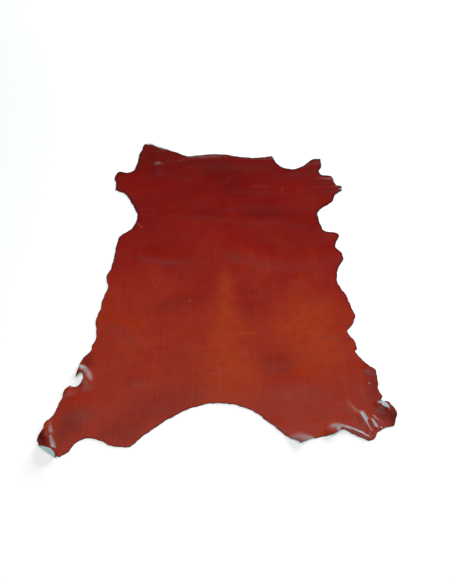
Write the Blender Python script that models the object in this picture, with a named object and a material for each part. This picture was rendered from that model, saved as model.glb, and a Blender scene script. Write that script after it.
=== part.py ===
"""Leather hide: one whole goat skin, glazed, laid out flat with its grain side up.

Metres, +Z up.  +Y runs from the rump to the neck and +X to the right.  The origin is under the
middle of the hide, and the flesh side lies on z = 0 wherever the hide isn't lifted.

The tables are in millimetres.  The cut edge is a run of short stretches round the hide, swells
and ridges lift it off the floor, and a curl turns the end of the left hind shank up.
"""
from collections import namedtuple

import bpy
import numpy as np
from mathutils import Vector
from mathutils.geometry import delaunay_2d_cdt

MM = 0.001

# Driving dimensions, in millimetres
THICKNESS = 1.2        # a glazed goat skin, shaved even
EDGE_STEP = 9.0        # spacing of points along the cut edge
FOLD_STEP = 11.0       # spacing of points where the hide is lifted or turned up
FLAT_STEP = 34.0       # spacing of points where it lies flat
SPREAD = 0.45          # how fast the spacing grows away from a fold, per millimetre
CURL_REACH = 45.0      # how far the close spacing reaches round a curl's fold line
BROAD_SPREAD = 0.12    # how fast the spacing grows with a lift's own breadth, per millimetre

# Shares of a point's own spacing that it keeps clear of the edge and of other points
EDGE_CLEAR = 0.62
POINT_CLEAR = 0.95
ROW_PITCH = 0.866      # rows of a triangular grid, to its columns

LEATHER_COLOUR = (0.28, 0.025, 0.014, 1.0)
LEATHER_ROUGHNESS = 0.32

RIDGE_MARKS = 9        # points along a ridge that ask for the close spacing
CURL_MARKS = 5         # and along a curl's fold line
KEEP_INSIDE = 1        # the triangulation keeps what lies within the outline
SAME = 1e-5            # distance below which two points are one

ROUND, SHARP = "round", "sharp"
SOFT, CRISP = "soft", "crisp"
CRISP_POWER = 1.2       # near 1, a crisp ridge has straight flanks

Point = namedtuple("Point", "x y turn")
Swell = namedtuple("Swell", "place x y along across angle height")
Ridge = namedtuple("Ridge", "place x1 y1 x2 y2 bow left right height1 height2 crest")
Curl = namedtuple("Curl", "place x1 y1 x2 y2 radius turn fade1 fade2")

# The cut edge, clockwise from the left corner of the neck, as it lies before any curl
NECK_EDGE = [
    Point(-246, 498, ROUND), Point(-243, 517, ROUND), Point(-222, 525, ROUND),
    Point(-199, 509, ROUND), Point(-160, 490, ROUND), Point(-125, 471, ROUND),
    Point(-100, 460, ROUND), Point(-68, 466, ROUND), Point(-10, 471, ROUND),
    Point(40, 460, ROUND), Point(95, 452, ROUND), Point(135, 457, ROUND),
    Point(155, 463, SHARP),
]
RIGHT_EAR = [
    Point(164, 431, ROUND), Point(184, 409, ROUND), Point(215, 398, ROUND),
    Point(246, 414, ROUND), Point(275, 445, ROUND), Point(302, 450, SHARP),
    Point(302, 417, ROUND), Point(293, 388, ROUND), Point(300, 375, ROUND),
]
RIGHT_FORELEG = [
    Point(316, 373, ROUND), Point(330, 365, ROUND), Point(334, 338, ROUND),
    Point(340, 328, ROUND), Point(351, 327, ROUND), Point(353, 306, SHARP),
    Point(333, 292, ROUND), Point(319, 260, ROUND), Point(293, 238, ROUND),
    Point(272, 214, ROUND),
]
RIGHT_FLANK = [
    Point(273, 197, ROUND), Point(276, 168, ROUND), Point(282, 146, ROUND),
    Point(294, 139, ROUND), Point(318, 134, ROUND), Point(323, 122, ROUND),
    Point(309, 88, ROUND), Point(312, 74, ROUND), Point(323, 60, ROUND),
    Point(325, 38, ROUND), Point(308, 3, ROUND), Point(301, -35, ROUND),
    Point(309, -66, ROUND), Point(320, -88, ROUND), Point(327, -125, ROUND),
    Point(334, -151, ROUND), Point(321, -181, ROUND), Point(309, -201, ROUND),
    Point(322, -226, ROUND), Point(327, -251, SHARP), Point(320, -257, ROUND),
    Point(335, -281, ROUND), Point(348, -297, ROUND), Point(360, -309, SHARP),
]
RIGHT_HIND_LEG = [
    Point(363, -335, ROUND), Point(360, -362, ROUND), Point(367, -379, SHARP),
    Point(362, -387, SHARP), Point(368, -390, ROUND), Point(376, -391, ROUND),
    Point(382, -398, ROUND), Point(388, -406, ROUND), Point(392, -414, ROUND),
    Point(393, -422, ROUND), Point(390, -431, ROUND), Point(385, -443, ROUND),
    Point(380, -452, SHARP), Point(368, -455, ROUND), Point(359, -459, ROUND),
    Point(352, -462, ROUND), Point(343, -468, ROUND), Point(333, -483, ROUND),
    Point(318, -487, ROUND), Point(303, -479, ROUND), Point(288, -471, ROUND),
    Point(268, -463, ROUND), Point(252, -473, ROUND), Point(222, -479, ROUND),
    Point(195, -485, ROUND), Point(173, -496, SHARP),
]
RUMP = [
    Point(150, -481, ROUND), Point(115, -450, ROUND), Point(75, -417, ROUND),
    Point(40, -402, ROUND), Point(-10, -396, ROUND), Point(-55, -405, ROUND),
    Point(-95, -424, ROUND), Point(-145, -459, ROUND), Point(-175, -485, ROUND),
    Point(-193, -503, SHARP),
]
LEFT_HIND_LEG = [
    Point(-225, -501, ROUND), Point(-256, -489, ROUND), Point(-276, -482, ROUND),
    Point(-294, -483, ROUND), Point(-310, -494, ROUND), Point(-325, -515, ROUND),
    Point(-339, -525, SHARP), Point(-345, -523, SHARP), Point(-352, -537, ROUND),
    Point(-360, -542, ROUND), Point(-369, -540, ROUND), Point(-377, -533, ROUND),
    Point(-384, -522, ROUND), Point(-390, -507, SHARP), Point(-390, -494, ROUND),
    Point(-393, -486, ROUND), Point(-393, -476, ROUND), Point(-388, -468, ROUND),
    Point(-384, -462, ROUND), Point(-383, -454, ROUND), Point(-381, -444, ROUND),
    Point(-371, -429, ROUND), Point(-362, -402, ROUND), Point(-357, -385, ROUND),
    Point(-354, -366, ROUND), Point(-343, -350, SHARP), Point(-335, -356, ROUND),
    Point(-320, -347, ROUND), Point(-314, -332, ROUND), Point(-320, -320, ROUND),
    Point(-332, -331, SHARP), Point(-328, -292, ROUND), Point(-323, -274, ROUND),
]
LEFT_FLANK = [
    Point(-309, -257, ROUND), Point(-306, -240, ROUND), Point(-301, -219, ROUND),
    Point(-303, -190, ROUND), Point(-308, -165, ROUND), Point(-300, -130, ROUND),
    Point(-300, -108, ROUND), Point(-290, -60, ROUND), Point(-297, -24, ROUND),
    Point(-288, 10, ROUND), Point(-284, 65, ROUND), Point(-278, 120, ROUND),
    Point(-257, 141, ROUND), Point(-242, 163, ROUND), Point(-237, 205, ROUND),
]
LEFT_FORELEG = [
    Point(-256, 250, ROUND), Point(-277, 288, ROUND), Point(-310, 310, SHARP),
    Point(-311, 335, ROUND), Point(-317, 360, ROUND), Point(-313, 384, ROUND),
    Point(-302, 390, ROUND), Point(-283, 384, ROUND), Point(-265, 395, ROUND),
    Point(-256, 430, ROUND), Point(-254, 465, ROUND),
]
CUT_EDGE = (NECK_EDGE + RIGHT_EAR + RIGHT_FORELEG + RIGHT_FLANK + RIGHT_HIND_LEG
            + RUMP + LEFT_HIND_LEG + LEFT_FLANK + LEFT_FORELEG)

# Broad lifts of the hide
SWELLS = [
    Swell("left of the neck", -142, 402, 85, 52, -12, 1.8),
    Swell("left of the neck, end", -192, 404, 26, 36, 0, 2.6),
    Swell("left flank", -245, -185, 70, 40, -25, 2),
    Swell("left thigh", -320, -405, 45, 40, 0, 3),
    Swell("hole in the left edge", -318, -327, 44, 26, -60, 11),
    Swell("lip under the hole", -345, -366, 22, 16, 20, 5),
    Swell("right thigh", 180, -350, 95, 55, 10, 3),
    Swell("rump corner", 172, -503, 50, 40, 0, 11),
    Swell("front of the right leg", 251, -474, 33, 34, 0, 10.5),
    Swell("right edge", 354, -307, 24, 20, -35, 3),
    Swell("cut in the right edge", 360, -406, 22, 18, -25, 6),
    Swell("right shank, outer lobe", 372, -438, 26, 30, -15, 1),
]

# Long lifts, from one end of the crest to the other
RIDGES = [
    Ridge("neck edge", -95, 436, 150, 428, 4, 40, 46, 3.2, 3.2, SOFT),
    Ridge("neck corner", -224, 512, -182, 482, 0, 16, 18, 2.5, 2, SOFT),
    Ridge("right ear", 172, 388, 290, 412, -8, 32, 36, 2.2, 2.4, SOFT),
    Ridge("foreleg, upper", 268, 346, 322, 346, 0, 21, 20, 1.6, 2.3, SOFT),
    Ridge("foreleg, lower", 276, 308, 338, 314, 0, 21, 20, 1.6, 2.4, SOFT),
    Ridge("first neck wrinkle", 30, 312, 285, 286, 6, 24, 22, 1.2, 1, SOFT),
    Ridge("second neck wrinkle", 20, 240, 230, 236, 10, 22, 22, 1, 1.2, SOFT),
    Ridge("third neck wrinkle", -200, 208, 40, 190, 6, 22, 20, 1, 1.2, SOFT),
    Ridge("fourth neck wrinkle", 60, 180, 225, 168, 8, 22, 22, 1.2, 1, SOFT),
    Ridge("shoulder, right", 42, 66, 322, 54, -30, 54, 48, 3.4, 1.8, SOFT),
    Ridge("shoulder, left", -215, 52, -85, 42, -8, 34, 26, 2.4, 2, SOFT),
    Ridge("left shank, lobe", -385, -444, -378, -470, 0, 20, 20, 6, 8, SOFT),
    Ridge("left shank, behind the lip", -369, -488, -362, -505, 0, 13, 14, 6.5, 8, CRISP),
    Ridge("right shank, front", 272, -458, 318, -479, 1, 9, 10, 3.9, 3.9, CRISP),
    Ridge("right shank, first", 280, -392, 312, -446, 3, 12, 15, 1.5, 2.4, CRISP),
    Ridge("right shank, second", 311, -426, 327, -466, 0, 13, 12, 4, 5.2, CRISP),
    Ridge("right shank, third", 333, -441, 337, -456, 0, 10, 10, 4.2, 4.4, CRISP),
]

# Turned up past a straight fold; what lies to the right of the line, seen along it, rises
CURLS = [
    Curl("left shank, front lip", -400, -486, -342, -524, 7, 112, 6, 2),
]


def rounded(before, start, end, after, steps):
    """Points of a centripetal Catmull-Rom curve from start to end, without end itself."""
    knots = [0.0]
    for first, second in ((before, start), (start, end), (end, after)):
        knots.append(knots[-1] + np.linalg.norm(second - first) ** 0.5)
    k0, k1, k2, k3 = knots
    points = []
    for t in np.linspace(k1, k2, steps, endpoint=False):
        a1 = before + (start - before) * (t - k0) / (k1 - k0)
        a2 = start + (end - start) * (t - k1) / (k2 - k1)
        a3 = end + (after - end) * (t - k2) / (k3 - k2)
        b1 = a1 + (a2 - a1) * (t - k0) / (k2 - k0)
        b2 = a2 + (a3 - a2) * (t - k1) / (k3 - k1)
        points.append(b1 + (b2 - b1) * (t - k1) / (k2 - k1))
    return points


def edge_points(rows, step):
    """The cut edge as a closed run of points about one step apart, corners kept."""
    places = [np.array((row.x, row.y), float) for row in rows]
    points = []
    for i, row in enumerate(rows):
        start, end = places[i], places[(i + 1) % len(rows)]
        before, after = places[i - 1], places[(i + 2) % len(rows)]
        if row.turn == SHARP:
            before = 2 * start - end
        if rows[(i + 1) % len(rows)].turn == SHARP:
            after = 2 * end - start
        steps = max(1, round(np.linalg.norm(end - start) / step))
        points.extend(rounded(before, start, end, after, steps))
    return np.array(points)


def swell_height(swell, x, y):
    angle = np.radians(swell.angle)
    along = (x - swell.x) * np.cos(angle) + (y - swell.y) * np.sin(angle)
    across = (y - swell.y) * np.cos(angle) - (x - swell.x) * np.sin(angle)
    reach = (along / swell.along) ** 2 + (across / swell.across) ** 2
    return swell.height * np.clip(1 - reach, 0, 1) ** 2


def ridge_height(ridge, x, y):
    """A bowed ridge; left and right are its half widths, seen from its first end."""
    run = np.array((ridge.x2 - ridge.x1, ridge.y2 - ridge.y1), float)
    length = np.linalg.norm(run)
    run /= length
    along = (x - ridge.x1) * run[0] + (y - ridge.y1) * run[1]
    across = (y - ridge.y1) * run[0] - (x - ridge.x1) * run[1]
    share = np.clip(along / length, 0, 1)
    across = across - ridge.bow * 4 * share * (1 - share)
    width = np.where(across > 0, ridge.left, ridge.right)
    past = along - share * length
    reach = np.hypot(across, past) / width
    height = ridge.height1 + (ridge.height2 - ridge.height1) * share
    if ridge.crest == CRISP:
        return height * np.clip(1 - reach, 0, 1) ** CRISP_POWER
    return height * np.clip(1 - reach ** 2, 0, 1) ** 2


def relief(x, y):
    """Height of the flesh side over the floor, before any curl."""
    height = np.zeros_like(x)
    for swell in SWELLS:
        height = height + swell_height(swell, x, y)
    for ridge in RIDGES:
        height = height + ridge_height(ridge, x, y)
    return height


def smooth(value):
    value = np.clip(value, 0, 1)
    return value * value * (3 - 2 * value)


def curled(curl, points):
    """Points past the fold line go round its radius and on along the straight flap."""
    run = np.array((curl.x2 - curl.x1, curl.y2 - curl.y1), float)
    length = np.linalg.norm(run)
    run /= length
    out = np.array((run[1], -run[0]))
    offset = points[:, :2] - (curl.x1, curl.y1)
    along = offset @ run
    past = offset @ out
    grip = smooth(along / curl.fade1) * smooth((length - along) / curl.fade2)
    turn = np.radians(curl.turn) * grip
    bend = np.clip(past / curl.radius, 0, turn)
    rest = np.where(past > 0, past - curl.radius * bend, 0)
    side = curl.radius * np.sin(bend) + rest * np.cos(bend)
    rise = curl.radius * (1 - np.cos(bend)) + rest * np.sin(bend)
    side = np.where(past > 0, side, past)
    height = points[:, 2]
    side = side - height * np.sin(bend)
    result = np.empty_like(points)
    result[:, :2] = (curl.x1, curl.y1) + np.outer(along, run) + np.outer(side, out)
    result[:, 2] = rise + height * np.cos(bend)
    return result


def laid(flat):
    """Where points of the flat cut hide come to lie, flesh side."""
    points = np.column_stack((flat, relief(flat[:, 0], flat[:, 1])))
    for curl in CURLS:
        points = curled(curl, points)
    return points


def inside(points, edge):
    """Which points lie within the cut edge."""
    result = np.zeros(len(points), bool)
    start, end = edge, np.roll(edge, -1, axis=0)
    for (x1, y1), (x2, y2) in zip(start, end):
        crosses = (points[:, 1] < y1) != (points[:, 1] < y2)
        where = x1 + (points[:, 1] - y1) * (x2 - x1) / (y2 - y1 if y2 != y1 else 1)
        result ^= crosses & (points[:, 0] < where)
    return result


def fold_marks():
    """Points and reaches that ask for the close spacing: each swell, ridge and curl."""
    marks = []
    for swell in SWELLS:
        marks.append((swell.x, swell.y, max(swell.along, swell.across)))
    for ridge in RIDGES:
        for share in np.linspace(0, 1, RIDGE_MARKS):
            lift = ridge.bow * 4 * share * (1 - share)
            run = np.array((ridge.x2 - ridge.x1, ridge.y2 - ridge.y1), float)
            side = np.array((-run[1], run[0])) / np.linalg.norm(run)
            place = np.array((ridge.x1, ridge.y1)) + run * share + side * lift
            marks.append((place[0], place[1], max(ridge.left, ridge.right)))
    for curl in CURLS:
        for share in np.linspace(0, 1, CURL_MARKS):
            x = curl.x1 + (curl.x2 - curl.x1) * share
            y = curl.y1 + (curl.y2 - curl.y1) * share
            marks.append((x, y, CURL_REACH))
    return marks


def spacing(points):
    """Wanted distance between inner points: close at folds, wide on the flats."""
    step = np.full(len(points), FLAT_STEP)
    for x, y, reach in fold_marks():
        away = np.hypot(points[:, 0] - x, points[:, 1] - y) - reach
        broad = FOLD_STEP + BROAD_SPREAD * max(reach - CURL_REACH, 0)
        step = np.minimum(step, broad + SPREAD * np.clip(away, 0, None))
    return step


def inner_points(edge):
    """Points within the edge, each its own spacing from the others, closest spacing first."""
    low, high = edge.min(axis=0), edge.max(axis=0)
    pitch = FOLD_STEP / 2
    columns = np.arange(low[0], high[0], pitch)
    lines = np.arange(low[1], high[1], pitch * ROW_PITCH)
    grid = [(x + pitch / 2 * (j % 2), y) for j, y in enumerate(lines) for x in columns]
    grid = np.array(grid)
    grid = grid[inside(grid, edge)]
    step = spacing(grid)
    order = np.argsort(step, kind="stable")
    taken = np.array(edge)
    room = np.full(len(edge), EDGE_CLEAR)
    for index in order:
        gap = np.hypot(*(taken - grid[index]).T)
        if np.all(gap > step[index] * room):
            taken = np.vstack((taken, grid[index]))
            room = np.append(room, POINT_CLEAR)
    return taken[len(edge):]


def vertex_normals(points, faces):
    corners = points[faces]
    across = np.cross(corners[:, 1] - corners[:, 0], corners[:, 2] - corners[:, 0])
    normals = np.zeros_like(points)
    for corner in range(3):
        np.add.at(normals, faces[:, corner], across)
    return normals / np.linalg.norm(normals, axis=1)[:, None]


def hide_mesh():
    """One closed sheet: flesh side, grain side a thickness above it, and the cut edge."""
    edge = edge_points(CUT_EDGE, EDGE_STEP)
    flat = np.vstack((edge, inner_points(edge)))
    outline = [list(range(len(edge)))[::-1]]
    result = delaunay_2d_cdt([Vector(point) for point in flat], [], outline, KEEP_INSIDE, SAME)
    flat = np.array([tuple(point) for point in result[0]])
    faces = np.array([face for face in result[2]])
    first, second, third = (flat[faces[:, corner]] for corner in range(3))
    ahead, aside = second - first, third - first
    turned = ahead[:, 0] * aside[:, 1] - ahead[:, 1] * aside[:, 0] < 0
    faces[turned] = faces[turned][:, ::-1]

    flesh = laid(flat)
    grain = flesh + THICKNESS * vertex_normals(flesh, faces)
    low, high = np.minimum(flesh.min(0), grain.min(0)), np.maximum(flesh.max(0), grain.max(0))
    middle = np.array(((low[0] + high[0]) / 2, (low[1] + high[1]) / 2, 0))

    count = len(flat)
    sides = np.vstack((faces[:, [0, 1]], faces[:, [1, 2]], faces[:, [2, 0]]))
    known = {(a, b) for a, b in sides.tolist()}
    rim = [(a, b) for a, b in known if (b, a) not in known]
    rim.sort()
    solid = [face[::-1] for face in faces.tolist()]
    solid += [[corner + count for corner in face] for face in faces.tolist()]
    for a, b in rim:
        solid += [[a, b, b + count], [a, b + count, a + count]]

    mesh = bpy.data.meshes.new("hide")
    points = (np.vstack((flesh, grain)) - middle) * MM
    mesh.from_pydata(points.tolist(), [], solid)
    mesh.validate()
    mesh.shade_smooth()
    return mesh


def leather():
    material = bpy.data.materials.new("glazed leather")
    material.use_nodes = True
    shader = material.node_tree.nodes["Principled BSDF"]
    shader.inputs["Base Color"].default_value = LEATHER_COLOUR
    shader.inputs["Roughness"].default_value = LEATHER_ROUGHNESS
    shader.inputs["Metallic"].default_value = 0.0
    return material


def main():
    for old in list(bpy.data.objects):
        bpy.data.objects.remove(old)
    hide = bpy.data.objects.new("hide", hide_mesh())
    hide.data.materials.append(leather())
    bpy.context.scene.collection.objects.link(hide)


main()
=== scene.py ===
"""The looks of a glazed goat hide, laid out on a pale floor with its grain side up.

Tables are in millimetres in the hide's own plan, +y to the neck and +x to the right, and repeat
the solid's outline, swells, ridges and curl.  Meshes, lights and camera are in metres.
"""
from collections import namedtuple

import bpy
import numpy as np
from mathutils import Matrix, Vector
from mathutils.geometry import delaunay_2d_cdt


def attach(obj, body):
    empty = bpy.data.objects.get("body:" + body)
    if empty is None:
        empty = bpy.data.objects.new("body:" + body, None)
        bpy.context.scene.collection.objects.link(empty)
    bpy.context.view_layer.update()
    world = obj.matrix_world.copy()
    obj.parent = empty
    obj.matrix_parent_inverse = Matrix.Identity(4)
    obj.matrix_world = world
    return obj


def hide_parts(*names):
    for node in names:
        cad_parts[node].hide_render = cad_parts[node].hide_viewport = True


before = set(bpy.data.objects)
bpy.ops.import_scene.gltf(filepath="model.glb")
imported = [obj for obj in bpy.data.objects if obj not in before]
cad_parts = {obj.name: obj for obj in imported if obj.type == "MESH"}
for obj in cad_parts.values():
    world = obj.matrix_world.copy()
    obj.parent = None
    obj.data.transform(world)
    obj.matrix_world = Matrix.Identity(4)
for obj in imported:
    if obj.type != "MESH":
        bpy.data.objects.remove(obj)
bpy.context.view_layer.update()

MM = 0.001

THICKNESS = 1.2
EDGE_STEP = 3.0         # spacing of points along the cut edge
SHEET_STEP = 4.3        # spacing of points on the sheet
FINE_STEP = 2.7         # and on its turned and gathered ends
EDGE_CLEAR = 0.6        # nearest that an inner point comes to the edge, in its own spacing
EDGE_ROUND = 0.25       # how far the cut edge swells out at half its thickness
ROW_PITCH = 0.866       # rows of a triangular grid, to its columns
KEEP_INSIDE = 1         # the triangulation keeps what lies within the outline
SAME = 1e-5             # distance below which two points are one
STAIN_FADE = 2.2        # a stain has faded out where its squared reach comes to this
PLAN_MIDDLE = 0.6       # where the middle of the plan lies on the UV layer, in metres

ROUND, SHARP = "round", "sharp"
SOFT, CRISP = "soft", "crisp"
CRISP_POWER = 1.2       # near 1, a crisp ridge has straight flanks

Point = namedtuple("Point", "x y turn")
Swell = namedtuple("Swell", "place x y along across angle height")
Ridge = namedtuple("Ridge", "place x1 y1 x2 y2 bow left right height1 height2 crest")
Curl = namedtuple("Curl", "place x1 y1 x2 y2 radius turn fade1 fade2")
Stain = namedtuple("Stain", "place tone x y along across angle depth")
Scratch = namedtuple("Scratch", "place x1 y1 x2 y2 width depth")
Wave = namedtuple("Wave", "length heading height")
Lamp = namedtuple("Lamp", "name x y z target width height glow tint mirrored")

# The cut edge, clockwise from the left corner of the neck, as it lies before any curl
NECK_EDGE = [
    Point(-246, 498, ROUND), Point(-243, 517, ROUND), Point(-222, 525, ROUND),
    Point(-199, 509, ROUND), Point(-160, 490, ROUND), Point(-125, 471, ROUND),
    Point(-100, 460, ROUND), Point(-68, 466, ROUND), Point(-10, 471, ROUND),
    Point(40, 460, ROUND), Point(95, 452, ROUND), Point(135, 457, ROUND),
    Point(155, 463, SHARP),
]
RIGHT_EAR = [
    Point(164, 431, ROUND), Point(184, 409, ROUND), Point(215, 398, ROUND),
    Point(246, 414, ROUND), Point(275, 445, ROUND), Point(302, 450, SHARP),
    Point(302, 417, ROUND), Point(293, 388, ROUND), Point(300, 375, ROUND),
]
RIGHT_FORELEG = [
    Point(316, 373, ROUND), Point(330, 365, ROUND), Point(334, 338, ROUND),
    Point(340, 328, ROUND), Point(351, 327, ROUND), Point(353, 306, SHARP),
    Point(333, 292, ROUND), Point(319, 260, ROUND), Point(293, 238, ROUND),
    Point(272, 214, ROUND),
]
RIGHT_FLANK = [
    Point(273, 197, ROUND), Point(276, 168, ROUND), Point(282, 146, ROUND),
    Point(294, 139, ROUND), Point(318, 134, ROUND), Point(323, 122, ROUND),
    Point(309, 88, ROUND), Point(312, 74, ROUND), Point(323, 60, ROUND),
    Point(325, 38, ROUND), Point(308, 3, ROUND), Point(301, -35, ROUND),
    Point(309, -66, ROUND), Point(320, -88, ROUND), Point(327, -125, ROUND),
    Point(334, -151, ROUND), Point(321, -181, ROUND), Point(309, -201, ROUND),
    Point(322, -226, ROUND), Point(327, -251, SHARP), Point(320, -257, ROUND),
    Point(335, -281, ROUND), Point(348, -297, ROUND), Point(360, -309, SHARP),
]
RIGHT_HIND_LEG = [
    Point(363, -335, ROUND), Point(360, -362, ROUND), Point(367, -379, SHARP),
    Point(362, -387, SHARP), Point(368, -390, ROUND), Point(376, -391, ROUND),
    Point(382, -398, ROUND), Point(388, -406, ROUND), Point(392, -414, ROUND),
    Point(393, -422, ROUND), Point(390, -431, ROUND), Point(385, -443, ROUND),
    Point(380, -452, SHARP), Point(368, -455, ROUND), Point(359, -459, ROUND),
    Point(352, -462, ROUND), Point(343, -468, ROUND), Point(333, -483, ROUND),
    Point(318, -487, ROUND), Point(303, -479, ROUND), Point(288, -471, ROUND),
    Point(268, -463, ROUND), Point(252, -473, ROUND), Point(222, -479, ROUND),
    Point(195, -485, ROUND), Point(173, -496, SHARP),
]
RUMP = [
    Point(150, -481, ROUND), Point(115, -450, ROUND), Point(75, -417, ROUND),
    Point(40, -402, ROUND), Point(-10, -396, ROUND), Point(-55, -405, ROUND),
    Point(-95, -424, ROUND), Point(-145, -459, ROUND), Point(-175, -485, ROUND),
    Point(-193, -503, SHARP),
]
LEFT_HIND_LEG = [
    Point(-225, -501, ROUND), Point(-256, -489, ROUND), Point(-276, -482, ROUND),
    Point(-294, -483, ROUND), Point(-310, -494, ROUND), Point(-325, -515, ROUND),
    Point(-339, -525, SHARP), Point(-345, -523, SHARP), Point(-352, -537, ROUND),
    Point(-360, -542, ROUND), Point(-369, -540, ROUND), Point(-377, -533, ROUND),
    Point(-384, -522, ROUND), Point(-390, -507, SHARP), Point(-390, -494, ROUND),
    Point(-393, -486, ROUND), Point(-393, -476, ROUND), Point(-388, -468, ROUND),
    Point(-384, -462, ROUND), Point(-383, -454, ROUND), Point(-381, -444, ROUND),
    Point(-371, -429, ROUND), Point(-362, -402, ROUND), Point(-357, -385, ROUND),
    Point(-354, -366, ROUND), Point(-343, -350, SHARP), Point(-335, -356, ROUND),
    Point(-320, -347, ROUND), Point(-314, -332, ROUND), Point(-320, -320, ROUND),
    Point(-332, -331, SHARP), Point(-328, -292, ROUND), Point(-323, -274, ROUND),
]
LEFT_FLANK = [
    Point(-309, -257, ROUND), Point(-306, -240, ROUND), Point(-301, -219, ROUND),
    Point(-303, -190, ROUND), Point(-308, -165, ROUND), Point(-300, -130, ROUND),
    Point(-300, -108, ROUND), Point(-290, -60, ROUND), Point(-297, -24, ROUND),
    Point(-288, 10, ROUND), Point(-284, 65, ROUND), Point(-278, 120, ROUND),
    Point(-257, 141, ROUND), Point(-242, 163, ROUND), Point(-237, 205, ROUND),
]
LEFT_FORELEG = [
    Point(-256, 250, ROUND), Point(-277, 288, ROUND), Point(-310, 310, SHARP),
    Point(-311, 335, ROUND), Point(-317, 360, ROUND), Point(-313, 384, ROUND),
    Point(-302, 390, ROUND), Point(-283, 384, ROUND), Point(-265, 395, ROUND),
    Point(-256, 430, ROUND), Point(-254, 465, ROUND),
]
CUT_EDGE = (NECK_EDGE + RIGHT_EAR + RIGHT_FORELEG + RIGHT_FLANK + RIGHT_HIND_LEG
            + RUMP + LEFT_HIND_LEG + LEFT_FLANK + LEFT_FORELEG)

# Broad lifts of the hide
SWELLS = [
    Swell("left of the neck", -142, 402, 85, 52, -12, 1.8),
    Swell("left of the neck, end", -192, 404, 26, 36, 0, 2.6),
    Swell("left flank", -245, -185, 70, 40, -25, 2),
    Swell("left thigh", -320, -405, 45, 40, 0, 3),
    Swell("hole in the left edge", -318, -327, 44, 26, -60, 11),
    Swell("lip under the hole", -345, -366, 22, 16, 20, 5),
    Swell("right thigh", 180, -350, 95, 55, 10, 3),
    Swell("rump corner", 172, -503, 50, 40, 0, 11),
    Swell("front of the right leg", 251, -474, 33, 34, 0, 10.5),
    Swell("right edge", 354, -307, 24, 20, -35, 3),
    Swell("cut in the right edge", 360, -406, 22, 18, -25, 6),
    Swell("right shank, outer lobe", 372, -438, 26, 30, -15, 1),
]

# Long lifts, from one end of the crest to the other
RIDGES = [
    Ridge("neck edge", -95, 436, 150, 428, 4, 40, 46, 3.2, 3.2, SOFT),
    Ridge("neck corner", -224, 512, -182, 482, 0, 16, 18, 2.5, 2, SOFT),
    Ridge("right ear", 172, 388, 290, 412, -8, 32, 36, 2.2, 2.4, SOFT),
    Ridge("foreleg, upper", 268, 346, 322, 346, 0, 21, 20, 1.6, 2.3, SOFT),
    Ridge("foreleg, lower", 276, 308, 338, 314, 0, 21, 20, 1.6, 2.4, SOFT),
    Ridge("first neck wrinkle", 30, 312, 285, 286, 6, 24, 22, 1.2, 1, SOFT),
    Ridge("second neck wrinkle", 20, 240, 230, 236, 10, 22, 22, 1, 1.2, SOFT),
    Ridge("third neck wrinkle", -200, 208, 40, 190, 6, 22, 20, 1, 1.2, SOFT),
    Ridge("fourth neck wrinkle", 60, 180, 225, 168, 8, 22, 22, 1.2, 1, SOFT),
    Ridge("shoulder, right", 42, 66, 322, 54, -30, 54, 48, 3.4, 1.8, SOFT),
    Ridge("shoulder, left", -215, 52, -85, 42, -8, 34, 26, 2.4, 2, SOFT),
    Ridge("left shank, lobe", -385, -444, -378, -470, 0, 20, 20, 6, 8, SOFT),
    Ridge("left shank, behind the lip", -369, -488, -362, -505, 0, 13, 14, 6.5, 8, CRISP),
    Ridge("right shank, front", 272, -458, 318, -479, 1, 9, 10, 3.9, 3.9, CRISP),
    Ridge("right shank, first", 280, -392, 312, -446, 3, 12, 15, 1.5, 2.4, CRISP),
    Ridge("right shank, second", 311, -426, 327, -466, 0, 13, 12, 4, 5.2, CRISP),
    Ridge("right shank, third", 333, -441, 337, -456, 0, 10, 10, 4.2, 4.4, CRISP),
]

# Turned up past a straight fold; what lies to the right of the line, seen along it, rises
CURLS = [
    Curl("left shank, front lip", -400, -486, -342, -524, 7, 112, 6, 2),
]

# Small creases of the gathered ends, too fine for the solid
SMALL_SWELLS = [
    Swell("rump corner, inner side", 138, -452, 34, 20, -40, 2),
    Swell("right shank, small spot", 350, -459, 6, 6, 0, 1.8),
    Swell("right shank, outer spot", 338, -348, 9, 8, 0, 1.5),
    Swell("right edge, spot", 340, -308, 12, 9, -30, 2.6),
    Swell("right shank, front spot", 270, -461, 9, 8, 0, 2.4),
    Swell("left shank, front spot", -345, -520, 6, 5, 0, 1.6),
]
SMALL_RIDGES = [
    Ridge("right shank, outer streak", 308, -351, 328, -364, 0, 6, 6, 0.8, 0.8, SOFT),
    Ridge("left shank, behind the lip", -370, -484, -361, -506, 0, 14, 8, 1.4, 1.6, CRISP),
    Ridge("right shank, cross crease", 338, -430, 356, -446, -2, 6, 6, 1.2, 1.2, SOFT),
]

# Long, low unevenness of a skin that never lies quite flat
WAVES = [
    Wave(152, 20, 0.50), Wave(118, 75, 0.45), Wave(96, 130, 0.36), Wave(83, 48, 0.30),
    Wave(70, 160, 0.25), Wave(58, 100, 0.20),
]
WAVE_TURN = 1.9         # from one wave's phase to the next
WAVE_FOOT = 0.5         # height below which a wave runs out flat on the floor

# The knife's unevenness: how many waves go round the whole cut edge, and how high they are
KNIFE_WAVES = ((70, 0.5), (118, 0.45), (190, 0.35), (310, 0.25))
KNIFE_SEED = 7

# Names of what each point of the mesh carries for the materials
PLACE, FROM_EDGE = "cut", "edge"
ORANGE, DARK, LOBE_SHADE, WORN, SCRATCHED = "orange", "dark", "lobe_shade", "worn", "scratched"
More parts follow.
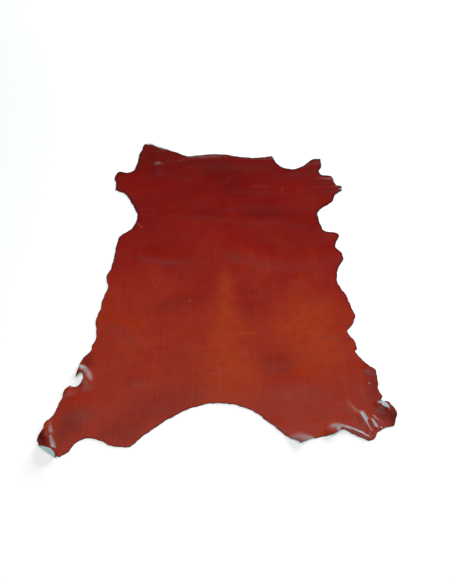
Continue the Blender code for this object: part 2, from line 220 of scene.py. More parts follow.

# Soft patches of colour and gloss; the ones marked below are painted shade and painted light; the
# glaze is duller on worn ones and glossier on the lobes with painted shade
STAINS = [
    Stain("backbone, front", ORANGE, 12, -70, 85, 26, 90, 0.7),
    Stain("backbone, middle", ORANGE, 14, -190, 120, 44, 92, 0.8),
    Stain("backbone, rump", ORANGE, 20, -330, 120, 78, 90, 0.75),
    Stain("right flank", ORANGE, 215, -190, 130, 85, 80, 0.8),
    Stain("right thigh", ORANGE, 250, -290, 70, 45, 60, 0.4),
    # Painted light: paler orange on the lit end of the right shank's gathered folds
    Stain("right shank", ORANGE, 318, -462, 24, 14, -40, 0.7),
    Stain("left spot", ORANGE, -240, -235, 26, 18, 60, 0.5),
    Stain("left thigh", ORANGE, -225, -275, 60, 30, 70, 0.3),
    Stain("smudge", DARK, -108, -110, 82, 26, 20, 0.38),
    Stain("loin", DARK, 140, -285, 46, 38, 0, 0.36),
    Stain("neck bar", DARK, 130, 210, 80, 24, -2, 0.9),
    Stain("neck bar, left", DARK, -50, 215, 60, 30, 0, 0.5),
    Stain("left armpit", DARK, -215, 235, 45, 60, 0, 0.35),
    Stain("left rump", DARK, -130, -405, 130, 44, 20, 0.3),
    Stain("left leg, front", DARK, -215, -470, 50, 30, 0, 0.4),
    Stain("left thigh, outer", DARK, -335, -460, 60, 30, 50, 0.6),
    Stain("ear", DARK, 235, 408, 70, 45, 0, 0.75),
    Stain("right foreleg", DARK, 290, 330, 50, 50, 0, 0.5),
    Stain("neck, left", DARK, -185, 430, 60, 60, 0, 0.45),
    Stain("shoulders", DARK, 200, 90, 130, 60, 0, 0.35),
    # Painted shade: the steep lobes at both shank ends and the right one's valley, darkened where
    # they get little light
    Stain("left lobe", LOBE_SHADE, -388, -482, 26, 14, 100, 1.0),
    Stain("right lobe", LOBE_SHADE, 384, -432, 30, 18, 100, 1.0),
    Stain("right lobe, valley", LOBE_SHADE, 362, -424, 24, 12, 80, 0.5),
    Stain("right shank, outer edge", DARK, 352, -360, 60, 20, 90, 0.65),
    # Painted shade, from here to the left shank's lip: darker colour on the flanks that the
    # windows light, under their highlights
    Stain("right shank, front fold", DARK, 296, -464, 22, 6, -25, 0.6),
    Stain("right shank, second fold", DARK, 323, -440, 20, 6, -68, 0.7),
    Stain("right shank, third fold", DARK, 340, -448, 11, 6, -75, 0.8),
    Stain("right leg, front", DARK, 256, -456, 18, 8, 20, 0.6),
    Stain("rump corner", DARK, 172, -482, 20, 9, 10, 0.5),
    Stain("cut in the right edge", DARK, 366, -404, 14, 9, -35, 0.6),
    Stain("left shank, behind the lip", DARK, -362, -490, 18, 8, 110, 0.6),
    Stain("neck, middle", DARK, 0, 400, 50, 22, 90, 0.6),
    Stain("left of the backbone", DARK, -60, 20, 110, 60, 0, 0.2),
    Stain("right of the backbone", DARK, 85, -110, 60, 40, 80, 0.25),
    # Painted shade on the hole's upper edge, under its highlight
    Stain("left hole, upper edge", DARK, -316, -296, 36, 15, 80, 0.85),
    Stain("left hole", WORN, -306, -322, 34, 30, 0, 1.0),
    Stain("left shank", WORN, -362, -488, 30, 18, 110, 0.5),
    Stain("rump corner", WORN, 160, -480, 40, 26, 20, 0.8),
    Stain("right leg, front", WORN, 250, -462, 34, 22, 0, 0.6),
    Stain("right shank", WORN, 322, -440, 34, 26, 0, 0.5),
]

# Marks that show paler than the dye around them
SCRATCHES = [
    Scratch("middle of the back", 38, -206, 86, -204, 2.0, 0.5),
    Scratch("under the left foreleg", -236, 176, -220, 154, 2.4, 0.6),
    Scratch("left flank", -190, -20, -165, -56, 1.6, 0.3),
    Scratch("left flank, short", -171, -22, -160, -36, 1.2, 0.35),
    Scratch("right of the neck", 177, 300, 178, 314, 1.4, 0.6),
    Scratch("middle of the neck", 20, 350, 25, 366, 1.2, 0.35),
    Scratch("speck in the smudge", -80, -105, -76, -105, 2.0, 1.0),
    Scratch("rump", -5, -300, 2, -372, 1.2, 0.4),
    Scratch("rump, second", 60, -262, 66, -330, 1.2, 0.35),
    Scratch("right shank, crease", 283, -397, 310, -434, 1.6, 0.35),
]

# Boxes of the plan that take the fine spacing
Box = namedtuple("Box", "place low_x low_y high_x high_y")
FINE_PARTS = [
    Box("left shank", -420, -580, -325, -425),
    Box("right shank", 262, -500, 420, -385),
]

# Camera, worked out from the photograph's perspective
LENS = 40.0
SENSOR = 36.0
LOOK_DOWN = np.radians(51.0)
CAMERA_PLACE = (0.0134, -1.1182, 1.2886)

# Lamps, in metres; glow is the brightness of the lamp's face, mirrored whether the glaze shows it
COOL, PLAIN = (0.90, 0.98, 1.0), (1.0, 1.0, 1.0)
LAMPS = [
    Lamp("far window", 0.55, 3.0, 0.68, (0.55, 0.0, 0.68), 3.4, 0.6, 9.0, COOL, True),
    Lamp("side window", 2.9, 2.6, 1.7, (0.0, 0.0, 0.0), 2.4, 2.4, 8.0, COOL, True),
    Lamp("key", 0.0, -1.2, 3.0, (0.0, 0.0, 0.0), 3.0, 2.2, 3.65, PLAIN, False),
]

# How bright the studio's upper half is, from the horizon (0) to straight overhead (1)
SKY = (
    (0.0, 0.75), (0.06, 0.75), (0.14, 0.04), (0.64, 0.04), (0.755, 0.15), (0.85, 0.24),
    (0.90, 0.45), (1.0, 0.75),
)

FLOOR_HALF = 6.0        # metres
FLOOR_DEPTH = -0.0003   # a hair under the hide

GRAIN, CUT, FLESH = 0, 1, 2     # places in the hide's list of materials

# How fine each pattern of the grain is, per metre; streaks have one number for x and one for y
BROAD, CLOUD, MOTTLE, GLOSS = 4.5, 14.0, 46.0, 22.0
PEBBLE, PORES, FINE = 620.0, 240.0, 1500.0
BRUSH, WEFT, GROWTH, WRINKLE = (150.0, 5.0), (9.0, 170.0), (6.0, 90.0), (22.0, 190.0)

GLAZE_IOR = 1.54
MIX_FIRST, MIX_SECOND, MIX_RESULT = 6, 7, 2     # the colour sockets of a Mix node


def colour(red, green, blue):
    return (red, green, blue, 1.0)


BACK_RED = colour(0.250, 0.0110, 0.0026)
BACK_DYE = (
    (0.05, colour(0.262, 0.0165, 0.0030)), (0.35, colour(0.266, 0.0145, 0.0030)),
    (0.55, colour(0.226, 0.0060, 0.0022)), (0.76, colour(0.180, 0.0030, 0.0012)),
    (0.93, colour(0.130, 0.0020, 0.0008)),
)
# Orange of the dye, and of the painted light on the right shank's fold ends
BRICK_ORANGE_AND_PAINTED_LIGHT = colour(0.335, 0.0300, 0.0022)
SCRATCH_ORANGE = colour(0.420, 0.0800, 0.0120)
# Dark red of the dye's patches and streaks, and of the painted shade under the highlights on the
# folds
OXBLOOD_AND_PAINTED_SHADE = colour(0.120, 0.0030, 0.0020)
# Dark red of the painted shade on the steep lobes at the shank ends
LOBE_SHADE_RED = colour(0.068, 0.0018, 0.0012)
# The cut edge's own dark brown, also laid along the grain's rim, where it is partly painted shade
EDGE_BROWN_AND_PAINTED_SHADE = colour(0.022, 0.0050, 0.0040)
FLESH_BLUE = colour(0.360, 0.560, 0.540)
FLESH_GREY = colour(0.400, 0.580, 0.560)
FLESH_WARM = colour(0.430, 0.500, 0.450)
FLOOR_WHITE = colour(0.95, 0.945, 0.94)
COOL_GLAZE = colour(0.05, 0.94, 1.0)


def rounded(before, start, end, after, steps):
    """Points of a centripetal Catmull-Rom curve from start to end, without end itself."""
    knots = [0.0]
    for first, second in ((before, start), (start, end), (end, after)):
        knots.append(knots[-1] + np.linalg.norm(second - first) ** 0.5)
    k0, k1, k2, k3 = knots
    points = []
    for t in np.linspace(k1, k2, steps, endpoint=False):
        a1 = before + (start - before) * (t - k0) / (k1 - k0)
        a2 = start + (end - start) * (t - k1) / (k2 - k1)
        a3 = end + (after - end) * (t - k2) / (k3 - k2)
        b1 = a1 + (a2 - a1) * (t - k0) / (k2 - k0)
        b2 = a2 + (a3 - a2) * (t - k1) / (k3 - k1)
        points.append(b1 + (b2 - b1) * (t - k1) / (k2 - k1))
    return points


def edge_points(rows, step):
    """The cut edge as a closed run of points about one step apart, corners kept."""
    places = [np.array((row.x, row.y), float) for row in rows]
    points = []
    for i, row in enumerate(rows):
        start, end = places[i], places[(i + 1) % len(rows)]
        before, after = places[i - 1], places[(i + 2) % len(rows)]
        if row.turn == SHARP:
            before = 2 * start - end
        if rows[(i + 1) % len(rows)].turn == SHARP:
            after = 2 * end - start
        steps = max(1, round(np.linalg.norm(end - start) / step))
        points.extend(rounded(before, start, end, after, steps))
    return np.array(points)


def ragged(edge):
    """The cut edge with the knife's small unevenness in it."""
    ahead = np.roll(edge, -1, axis=0) - np.roll(edge, 1, axis=0)
    aside = np.column_stack((ahead[:, 1], -ahead[:, 0]))
    aside /= np.linalg.norm(aside, axis=1)[:, None]
    run = np.cumsum(np.linalg.norm(edge - np.roll(edge, 1, axis=0), axis=1))
    total = run[-1]
    draw = np.random.default_rng(KNIFE_SEED)
    shift = np.zeros(len(edge))
    for count, height in KNIFE_WAVES:
        shift += height * np.sin(2 * np.pi * count * run / total + draw.uniform(0, 2 * np.pi))
    return edge - aside * shift[:, None]


def swell_height(swell, x, y):
    angle = np.radians(swell.angle)
    along = (x - swell.x) * np.cos(angle) + (y - swell.y) * np.sin(angle)
    across = (y - swell.y) * np.cos(angle) - (x - swell.x) * np.sin(angle)
    reach = (along / swell.along) ** 2 + (across / swell.across) ** 2
    return swell.height * np.clip(1 - reach, 0, 1) ** 2


def ridge_height(ridge, x, y):
    """A bowed ridge; left and right are its half widths, seen from its first end."""
    run = np.array((ridge.x2 - ridge.x1, ridge.y2 - ridge.y1), float)
    length = np.linalg.norm(run)
    run /= length
    along = (x - ridge.x1) * run[0] + (y - ridge.y1) * run[1]
    across = (y - ridge.y1) * run[0] - (x - ridge.x1) * run[1]
    share = np.clip(along / length, 0, 1)
    across = across - ridge.bow * 4 * share * (1 - share)
    width = np.where(across > 0, ridge.left, ridge.right)
    past = along - share * length
    reach = np.hypot(across, past) / width
    height = ridge.height1 + (ridge.height2 - ridge.height1) * share
    if ridge.crest == CRISP:
        return height * np.clip(1 - reach, 0, 1) ** CRISP_POWER
    return height * np.clip(1 - reach ** 2, 0, 1) ** 2


def unevenness(x, y):
    total = np.zeros_like(x)
    for number, wave in enumerate(WAVES):
        heading = np.radians(wave.heading)
        run = x * np.cos(heading) + y * np.sin(heading)
        total += wave.height * np.sin(2 * np.pi * run / wave.length + WAVE_TURN * number)
    lifted = np.clip(total, 0, None)
    return lifted ** 2 / (lifted + WAVE_FOOT)


def relief(x, y):
    """Height of the flesh side over the floor, before any curl."""
    height = unevenness(x, y)
    for swell in SWELLS + SMALL_SWELLS:
        height = height + swell_height(swell, x, y)
    for ridge in RIDGES + SMALL_RIDGES:
        height = height + ridge_height(ridge, x, y)
    return height


def smooth(value):
    value = np.clip(value, 0, 1)
    return value * value * (3 - 2 * value)


def curled(curl, points):
    """Points past the fold line go round its radius and on along the straight flap."""
    run = np.array((curl.x2 - curl.x1, curl.y2 - curl.y1), float)
    length = np.linalg.norm(run)
    run /= length
    out = np.array((run[1], -run[0]))
    offset = points[:, :2] - (curl.x1, curl.y1)
    along = offset @ run
    past = offset @ out
    grip = smooth(along / curl.fade1) * smooth((length - along) / curl.fade2)
    turn = np.radians(curl.turn) * grip
    bend = np.clip(past / curl.radius, 0, turn)
    rest = np.where(past > 0, past - curl.radius * bend, 0)
    side = curl.radius * np.sin(bend) + rest * np.cos(bend)
    rise = curl.radius * (1 - np.cos(bend)) + rest * np.sin(bend)
    side = np.where(past > 0, side, past)
    height = points[:, 2]
    side = side - height * np.sin(bend)
    result = np.empty_like(points)
    result[:, :2] = (curl.x1, curl.y1) + np.outer(along, run) + np.outer(side, out)
    result[:, 2] = rise + height * np.cos(bend)
    return result


def laid(flat):
    """Where points of the flat cut hide come to lie, flesh side."""
    points = np.column_stack((flat, relief(flat[:, 0], flat[:, 1])))
    for curl in CURLS:
        points = curled(curl, points)
    return points


def inside(points, edge):
    """Which points lie within the cut edge."""
    result = np.zeros(len(points), bool)
    start, end = edge, np.roll(edge, -1, axis=0)
    for (x1, y1), (x2, y2) in zip(start, end):
        crosses = (points[:, 1] < y1) != (points[:, 1] < y2)
        where = x1 + (points[:, 1] - y1) * (x2 - x1) / (y2 - y1 if y2 != y1 else 1)
        result ^= crosses & (points[:, 0] < where)
    return result


def edge_distance(points, edge):
    """How far each point is from the nearest point of the cut edge."""
    nearest = np.full(len(points), np.inf)
    for x, y in edge:
        np.minimum(nearest, np.hypot(points[:, 0] - x, points[:, 1] - y), out=nearest)
    return nearest


def in_fine_part(points):
    within = np.zeros(len(points), bool)
    for box in FINE_PARTS:
        within |= ((points[:, 0] > box.low_x) & (points[:, 0] < box.high_x)
                   & (points[:, 1] > box.low_y) & (points[:, 1] < box.high_y))
    return within


def staggered(edge, step):
    """A grid of points in rows, every second row moved by half a step, within the edge."""
    low, high = edge.min(axis=0), edge.max(axis=0)
    columns = np.arange(low[0], high[0], step)
    rows = np.arange(low[1], high[1], step * ROW_PITCH)
    x, y = np.meshgrid(columns, rows)
    x = x + (step / 2) * (np.arange(len(rows)) % 2)[:, None]
    points = np.column_stack((x.ravel(), y.ravel()))
    points = points[inside(points, edge)]
    return points[edge_distance(points, edge) > step * EDGE_CLEAR]


def vertex_normals(points, faces):
    corners = points[faces]
    across = np.cross(corners[:, 1] - corners[:, 0], corners[:, 2] - corners[:, 0])
    normals = np.zeros_like(points)
    for corner in range(3):
        for axis in range(3):
            normals[:, axis] += np.bincount(faces[:, corner], across[:, axis], len(points))
    return normals / np.linalg.norm(normals, axis=1)[:, None]


def signed_areas(flat, faces):
    """Areas of the flat triangles, negative where the corners run clockwise."""
    first, second, third = (flat[faces[:, corner]] for corner in range(3))
    ahead, aside = second - first, third - first
    return (ahead[:, 0] * aside[:, 1] - ahead[:, 1] * aside[:, 0]) / 2


def cut_sheet():
    """The flat cut hide: its points, its triangles and the run of its cut edge."""
    edge = ragged(edge_points(CUT_EDGE, EDGE_STEP))
    coarse = staggered(edge, SHEET_STEP)
    fine = staggered(edge, FINE_STEP)
    lines = [scratch_lines(scratch) for scratch in SCRATCHES]
    points = np.vstack([edge, coarse[~in_fine_part(coarse)], fine[in_fine_part(fine)]] + lines)
    outline = [list(range(len(edge)))[::-1]]
    places = [Vector(point) for point in points]
    result = delaunay_2d_cdt(places, [], outline, KEEP_INSIDE, SAME)
    flat = np.array([tuple(point) for point in result[0]])
    faces = np.array([face for face in result[2]])
    turned = signed_areas(flat, faces) < 0
    faces[turned] = faces[turned][:, ::-1]
    return flat, faces, edge


def scratch_frame(scratch):
    start, end = np.array((scratch.x1, scratch.y1)), np.array((scratch.x2, scratch.y2))
    length = np.linalg.norm(end - start)
    run = (end - start) / length
    return start, length, run, np.array((-run[1], run[0]))


def scratch_lines(scratch):
    """Points down the middle of a scratch and along both its sides."""
    start, length, run, aside = scratch_frame(scratch)
    steps = np.linspace(0, length, max(2, round(length / (2 * scratch.width))) + 1)
    points = []
    for share in (-1, 0, 1):
        points.append(start + np.outer(steps, run) + share * scratch.width * aside)
    return np.vstack(points)


def scratch_depth(flat):
    """How strongly each point is scratched, from 0 to 1."""
    result = np.zeros(len(flat))
    for scratch in SCRATCHES:
        start, length, run, aside = scratch_frame(scratch)
        offset = flat - start
        past = np.clip(np.abs(offset @ run - length / 2) - length / 2, 0, None)
        reach = np.hypot(offset @ aside, past) / scratch.width
        result = np.maximum(result, scratch.depth * np.clip(1 - reach, 0, 1))
    return result


def stain_depth(tone, flat):
    """How strongly one tone of stain lies at each point, from 0 to 1."""
    left = np.ones(len(flat))
    for stain in STAINS:
        if stain.tone != tone:
            continue
        angle = np.radians(stain.angle)
        x, y = flat[:, 0] - stain.x, flat[:, 1] - stain.y
        along = x * np.cos(angle) + y * np.sin(angle)
        across = y * np.cos(angle) - x * np.sin(angle)
        reach = (along / stain.along) ** 2 + (across / stain.across) ** 2
        left *= 1 - stain.depth * np.clip(1 - reach / STAIN_FADE, 0, 1) ** 2
    return 1 - left


def rim_pairs(faces):
    """The sides of triangles that lie on the cut edge, each as its two points in order."""
    sides = np.vstack((faces[:, [0, 1]], faces[:, [1, 2]], faces[:, [2, 0]]))
    known = {(a, b) for a, b in sides.tolist()}
    return sorted((a, b) for a, b in known if (b, a) not in known)


def rim_middle(flesh, grain, normals, rim):
    """Points half way up the cut edge, where it swells out a little."""
    out = np.zeros(flesh.shape)
    for a, b in rim:
        side = np.cross(flesh[b] - flesh[a], normals[a])
        side /= np.linalg.norm(side)
        out[a] += side
        out[b] += side
    around = [a for a, b in rim]
    push = out[around]
    push /= np.linalg.norm(push, axis=1)[:, None]
    return (flesh + grain)[around] / 2 + EDGE_ROUND * push


def closed_faces(faces, rim, count):
    """Faces of the flesh side, the grain side and the cut edge, and the material of each."""
    middle = {a: 2 * count + number for number, (a, b) in enumerate(rim)}
    polygons = [face[::-1] for face in faces.tolist()]
    polygons += [[corner + count for corner in face] for face in faces.tolist()]
    kinds = [FLESH] * len(faces) + [GRAIN] * len(faces)
    for a, b in rim:
        polygons.append([a, b, middle[b], middle[a]])
        polygons.append([middle[a], middle[b], b + count, a + count])
        kinds += [CUT, CUT]
    return polygons, kinds


def keep_borders_sharp(mesh, rim, count):
    """The cut edge meets both sides of the hide at a corner."""
    borders = {tuple(sorted(pair)) for pair in rim}
    borders |= {tuple(sorted((a + count, b + count))) for a, b in rim}
    ends = np.empty(2 * len(mesh.edges), int)
    mesh.edges.foreach_get("vertices", ends)
    pairs = [tuple(sorted(pair)) for pair in ends.reshape(-1, 2).tolist()]
    sharp = mesh.attributes.new("sharp_edge", "BOOLEAN", "EDGE")
    sharp.data.foreach_set("value", [pair in borders for pair in pairs])


def put_marks(mesh, plan, edge):
    """Gives each point its place on the flat hide and the depth of each kind of mark there."""
    cut = mesh.attributes.new(PLACE, "FLOAT_VECTOR", "POINT")
    cut.data.foreach_set("vector", np.column_stack((plan * MM, np.zeros(len(plan)))).ravel())
    marks = {FROM_EDGE: edge_distance(plan, edge) * MM, SCRATCHED: scratch_depth(plan)}
    for tone in (ORANGE, DARK, LOBE_SHADE, WORN):
        marks[tone] = stain_depth(tone, plan)
    for name, values in marks.items():
        attribute = mesh.attributes.new(name, "FLOAT", "POINT")
        attribute.data.foreach_set("value", values)
    corners = np.empty(len(mesh.loops), int)
    mesh.loops.foreach_get("vertex_index", corners)
    layer = mesh.uv_layers.new(name="cut_plan")
    layer.data.foreach_set("uv", (plan[corners] * MM + PLAN_MIDDLE).ravel())


def hide_piece():
    """The sheet, how far it was moved to lie in the middle, its flat size and its area."""
    flat, faces, edge = cut_sheet()
    flesh = laid(flat)
    normals = vertex_normals(flesh, faces)
    grain = flesh + THICKNESS * normals
    rim = rim_pairs(faces)
    points = np.vstack((flesh, grain, rim_middle(flesh, grain, normals, rim)))
    low, high = points.min(axis=0), points.max(axis=0)
    shift = np.array((-(low[0] + high[0]) / 2, -(low[1] + high[1]) / 2, 0))
    polygons, kinds = closed_faces(faces, rim, len(flat))

    mesh = bpy.data.meshes.new("hide_leather")
    mesh.from_pydata(((points + shift) * MM).tolist(), [], polygons)
    mesh.polygons.foreach_set("material_index", kinds)
    mesh.shade_smooth()
    keep_borders_sharp(mesh, rim, len(flat))
    around = [a for a, b in rim]
    put_marks(mesh, np.vstack((flat, flat, flat[around])), edge)

    hide = bpy.data.objects.new("hide_leather", mesh)
    bpy.context.scene.collection.objects.link(hide)
    size = (flat.max(axis=0) - flat.min(axis=0)) * MM
    area = signed_areas(flat, faces).sum() * MM * MM
    return hide, shift * MM, size, area


def set_stops(ramp, stops):
    """Gives a colour ramp its stops, each a position and a colour."""
    while len(ramp.elements) < len(stops):
        ramp.elements.new(0.5)      # between the two that a ramp starts with
    for element, (position, tint) in zip(ramp.elements, stops):
        element.position = position
        element.color = tint


class Shade:
    """Builds one material's nodes, a call for each node."""

    def __init__(self, name):
        self.material = bpy.data.materials.new(name)
        self.material.use_nodes = True
        self.tree = self.material.node_tree
        self.shader = self.tree.nodes["Principled BSDF"]

    def put(self, socket, value):
        if isinstance(value, bpy.types.NodeSocket):
            self.tree.links.new(value, socket)
        else:
            socket.default_value = value

    def set(self, name, value):
        """Gives one of the shader's own sockets a value or a link."""
        self.put(self.shader.inputs[name], value)

    def node(self, kind, inputs, **settings):
        node = self.tree.nodes.new(kind)
        for name, value in settings.items():
            setattr(node, name, value)
        for key, value in inputs.items():
            self.put(node.inputs[key], value)
        return node

    def attribute(self, name, output="Fac"):
        return self.node("ShaderNodeAttribute", {}, attribute_name=name).outputs[output]

    def math(self, operation, first, second=0.0):
        return self.node("ShaderNodeMath", {0: first, 1: second}, operation=operation).outputs[0]

    def times(self, vector, factors):
        return self.node("ShaderNodeVectorMath", {0: vector, 1: factors},
                         operation="MULTIPLY").outputs[0]

    def noise(self, vector, scale, detail=2.0, rough=0.5):
        return self.node("ShaderNodeTexNoise", {"Vector": vector, "Scale": scale, "Detail": detail,
                                                "Roughness": rough}).outputs["Fac"]

    def streaks(self, vector, fineness, rough=0.6):
        """Noise drawn out along x or y."""
        return self.noise(self.times(vector, (*fineness, 1.0)), 1.0, 3.0, rough)

    def cells(self, vector, scale, feature="F1"):
        return self.node("ShaderNodeTexVoronoi", {"Vector": vector, "Scale": scale},
                         feature=feature).outputs["Distance"]

    def range(self, value, low, high, to_low=0.0, to_high=1.0, ease="SMOOTHSTEP"):
        inputs = {"Value": value, "From Min": low, "From Max": high, "To Min": to_low,
                  "To Max": to_high}
        return self.node("ShaderNodeMapRange", inputs,
                         interpolation_type=ease).outputs["Result"]

    def mix(self, factor, first, second, blend="MIX"):
        node = self.node("ShaderNodeMix", {}, data_type="RGBA", blend_type=blend)
        self.put(node.inputs["Factor"], factor)
        self.put(node.inputs[MIX_FIRST], first)
        self.put(node.inputs[MIX_SECOND], second)
        return node.outputs[MIX_RESULT]

    def ramp(self, value, stops):
        node = self.node("ShaderNodeValToRGB", {"Fac": value})
        set_stops(node.color_ramp, stops)
        return node.outputs["Color"]

    def bump(self, height, distance, strength, normal=None):
        inputs = {"Height": height, "Distance": distance, "Strength": strength}
        if normal is not None:
            inputs["Normal"] = normal
        return self.node("ShaderNodeBump", inputs).outputs["Normal"]


def grain_colour(shade, cut, y, neck):
    """Oxblood at the neck to brick red and orange at the rump, with its stains and streaks; some
    stains are painted shade and painted light, and the dark rim along the cut edge is partly
    painted shade.
    """
    broad = shade.noise(cut, BROAD, 3.0)
    cloud = shade.noise(cut, CLOUD, 4.0, 0.6)
    mottle = shade.noise(cut, MOTTLE, 4.0, 0.6)
    lean = shade.math("ADD", y, shade.range(broad, 0.3, 0.7, -0.10, 0.10))
    rump = shade.range(lean, 0.30, -0.20)
    base = shade.ramp(shade.math("ADD", lean, 0.5), BACK_DYE)

    # Orange patches of the dye, and painted light on the right shank's fold ends
    orange = shade.math("MULTIPLY", shade.attribute(ORANGE),
                        shade.range(cloud, 0.25, 0.7, 0.55, 1.1))
    base = shade.mix(orange, base, BRICK_ORANGE_AND_PAINTED_LIGHT)
    # Dark patches of the dye, and painted shade under the highlights on the folds, the rump
    # corner, the cut and the hole
    dark = shade.math("MULTIPLY", shade.attribute(DARK), shade.range(cloud, 0.3, 0.7, 0.7, 1.2))
    base = shade.mix(dark, base, OXBLOOD_AND_PAINTED_SHADE)
    # Painted shade on the steep lobes at the shank ends
    base = shade.mix(shade.attribute(LOBE_SHADE), base, LOBE_SHADE_RED)
    clouded = shade.math("MULTIPLY", shade.range(cloud, 0.45, 0.70),
                         shade.range(rump, 0.0, 1.0, 0.06, 0.26))
    base = shade.mix(clouded, base, BRICK_ORANGE_AND_PAINTED_LIGHT)
    base = shade.mix(shade.range(mottle, 0.48, 0.68, 0.0, 0.20), base, OXBLOOD_AND_PAINTED_SHADE)
    base = shade.mix(shade.attribute(SCRATCHED), base, SCRATCH_ORANGE)

    brush = shade.range(shade.streaks(cut, BRUSH), 0.5, 0.75)
    brushed = shade.math("MULTIPLY", brush, shade.math("MULTIPLY", rump, 0.34))
    base = shade.mix(brushed, base, BRICK_ORANGE_AND_PAINTED_LIGHT)
    weft = shade.range(shade.streaks(cut, WEFT), 0.50, 0.72, 0.0, 0.20)
    base = shade.mix(weft, base, OXBLOOD_AND_PAINTED_SHADE)
    growth = shade.range(shade.streaks(cut, GROWTH, 0.55), 0.52, 0.75)
    grown = shade.math("MULTIPLY", growth, shade.math("MULTIPLY", neck, 0.25))
    base = shade.mix(grown, base, BACK_RED)

    # A dark rim along the cut edge, wider toward the neck: partly the edge's own dark brown,
    # partly painted shade where the far edges fall away from the light
    width = shade.range(y, -0.2, 0.3, 0.0035, 0.0100)
    share = shade.math("DIVIDE", shade.attribute(FROM_EDGE), width)
    return shade.mix(shade.range(share, 0.0, 1.0, 0.75, 0.0), base, EDGE_BROWN_AND_PAINTED_SHADE)


def grain_relief(shade, cut, neck):
    """The neck's wrinkles, the pebbles, the pores and the finest grain, one over the other."""
    wrinkles = shade.streaks(cut, WRINKLE)
    normal = shade.bump(wrinkles, 0.0006, shade.math("MULTIPLY", neck, 0.16))
    normal = shade.bump(shade.cells(cut, PEBBLE, "SMOOTH_F1"), 0.00012, 0.2, normal)
    pores = shade.range(shade.cells(cut, PORES), 0.0, 0.12)
    normal = shade.bump(pores, 0.00008, 0.12, normal)
    return shade.bump(shade.noise(cut, FINE, 2.0), 0.00003, 0.25, normal)


def grain_roughness(shade, cut, y):
    """Duller toward the shanks and on worn patches, glossier on the lobes with painted shade."""
    rough = shade.range(shade.noise(cut, GLOSS, 3.0), 0.3, 0.7, 0.13, 0.17)
    rough = shade.math("ADD", rough, shade.range(y, -0.28, -0.44, 0.0, 0.08))
    rough = shade.math("ADD", rough, shade.math("MULTIPLY", shade.attribute(WORN), 0.18))
    return shade.math("SUBTRACT", rough, shade.math("MULTIPLY", shade.attribute(LOBE_SHADE), 0.12))


def grain_material():
    """The glazed grain side."""
    shade = Shade("glazed_grain")
    cut = shade.attribute(PLACE, "Vector")
    y = shade.node("ShaderNodeSeparateXYZ", {"Vector": cut}).outputs["Y"]
    neck = shade.range(y, 0.02, 0.2)
    shade.set("Base Color", grain_colour(shade, cut, y, neck))
    shade.set("Normal", grain_relief(shade, cut, neck))
    shade.set("Roughness", grain_roughness(shade, cut, y))
    shade.set("IOR", GLAZE_IOR)
    shade.set("Specular Tint", COOL_GLAZE)
    return shade.material


def edge_material():
    """The knife's cut through the dyed skin, darkened by the glazing."""
    shade = Shade("cut_edge")
    cut = shade.attribute(PLACE, "Vector")
    fibre = shade.noise(cut, 900.0, 3.0, 0.6)
    base = shade.mix(shade.range(fibre, 0.3, 0.7), EDGE_BROWN_AND_PAINTED_SHADE, OXBLOOD_AND_PAINTED_SHADE)
    shade.set("Base Color", base)
    shade.set("Roughness", 0.75)
    shade.set("Normal", shade.bump(fibre, 0.0001, 0.5))
    return shade.material


def flesh_material():
    """The undyed flesh side: pale blue-grey chrome leather with a short nap."""
    shade = Shade("flesh_side")
    cut = shade.attribute(PLACE, "Vector")
    cloud = shade.noise(cut, 9.0, 4.0, 0.6)
    nap = shade.noise(cut, 420.0, 4.0, 0.7)
    veins = shade.noise(shade.times(cut, (1.0, 0.5, 1.0)), 26.0, 2.0)
    base = shade.mix(shade.range(cloud, 0.3, 0.7), FLESH_BLUE, FLESH_GREY)
    vein = shade.math("ABSOLUTE", shade.math("SUBTRACT", veins, 0.5))
    base = shade.mix(shade.range(vein, 0.0, 0.03, 0.22, 0.0), base, FLESH_WARM)
    base = shade.mix(shade.range(nap, 0.4, 0.8, 0.0, 0.25), base, FLESH_WARM)
    shade.set("Base Color", base)
    shade.set("Roughness", 0.92)
    shade.set("Sheen Weight", 0.25)
    shade.set("Normal", shade.bump(nap, 0.0003, 0.6))
    return shade.material


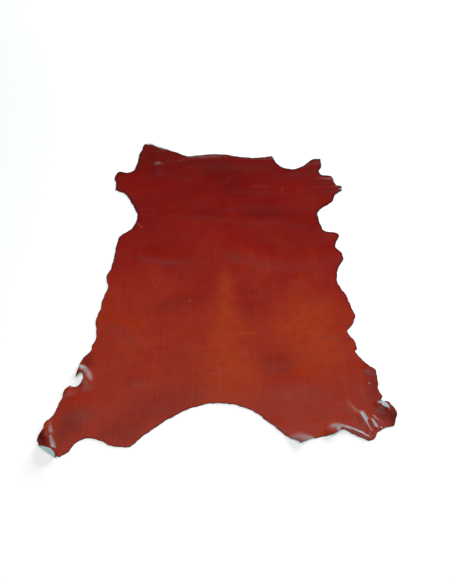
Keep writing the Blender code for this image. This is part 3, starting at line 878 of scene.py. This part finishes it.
def floor_piece():
    """A plain pale floor, a hair under the hide."""
    mesh = bpy.data.meshes.new("floor")
    ways = ((-1, -1), (1, -1), (1, 1), (-1, 1))
    corners = [(x * FLOOR_HALF, y * FLOOR_HALF, FLOOR_DEPTH) for x, y in ways]
    mesh.from_pydata(corners, [], [(0, 1, 2, 3)])
    floor = bpy.data.objects.new("floor", mesh)
    bpy.context.scene.collection.objects.link(floor)
    shade = Shade("floor_white")
    shade.set("Base Color", FLOOR_WHITE)
    shade.set("Roughness", 0.9)
    shade.set("Specular IOR Level", 0.1)
    mesh.materials.append(shade.material)
    return floor


def softbox(lamp):
    light = bpy.data.lights.new(lamp.name, "AREA")
    light.shape = "RECTANGLE"
    light.size = lamp.width
    light.size_y = lamp.height
    light.energy = lamp.glow * np.pi * lamp.width * lamp.height
    light.color = lamp.tint
    box = bpy.data.objects.new(lamp.name, light)
    box.location = (lamp.x, lamp.y, lamp.z)
    aim = Vector(lamp.target) - box.location
    box.rotation_euler = aim.to_track_quat("-Z", "Y").to_euler()
    box.visible_camera = False
    box.visible_glossy = lamp.mirrored
    bpy.context.scene.collection.objects.link(box)


def studio():
    """Soft light from behind the camera, a pale ceiling and two cool windows at the far side."""
    for lamp in LAMPS:
        softbox(lamp)
    world = bpy.data.worlds.new("studio")
    bpy.context.scene.world = world
    world.use_nodes = True
    tree = world.node_tree
    sky = tree.nodes.new("ShaderNodeTexCoord")
    apart = tree.nodes.new("ShaderNodeSeparateXYZ")
    ramp = tree.nodes.new("ShaderNodeValToRGB")
    tree.links.new(sky.outputs["Generated"], apart.inputs["Vector"])
    tree.links.new(apart.outputs["Z"], ramp.inputs["Fac"])
    set_stops(ramp.color_ramp, [(place, colour(value, value, value)) for place, value in SKY])
    background = tree.nodes["Background"]
    tree.links.new(ramp.outputs["Color"], background.inputs["Color"])
    background.inputs["Strength"].default_value = 1.0


def camera(shift):
    view = bpy.data.cameras.new("camera")
    view.lens = LENS
    view.sensor_width = SENSOR
    eye = bpy.data.objects.new("camera", view)
    eye.location = Vector(CAMERA_PLACE) + Vector(shift)
    eye.rotation_euler = (np.pi / 2 - LOOK_DOWN, 0.0, 0.0)
    bpy.context.scene.collection.objects.link(eye)
    bpy.context.scene.camera = eye


def main():
    hide, shift, size, area = hide_piece()
    for material in (grain_material(), edge_material(), flesh_material()):
        hide.data.materials.append(material)
    floor = floor_piece()
    studio()
    camera(shift)
    bpy.context.scene.view_settings.view_transform = "Standard"

    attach(hide, "root")
    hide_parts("hide")


main()
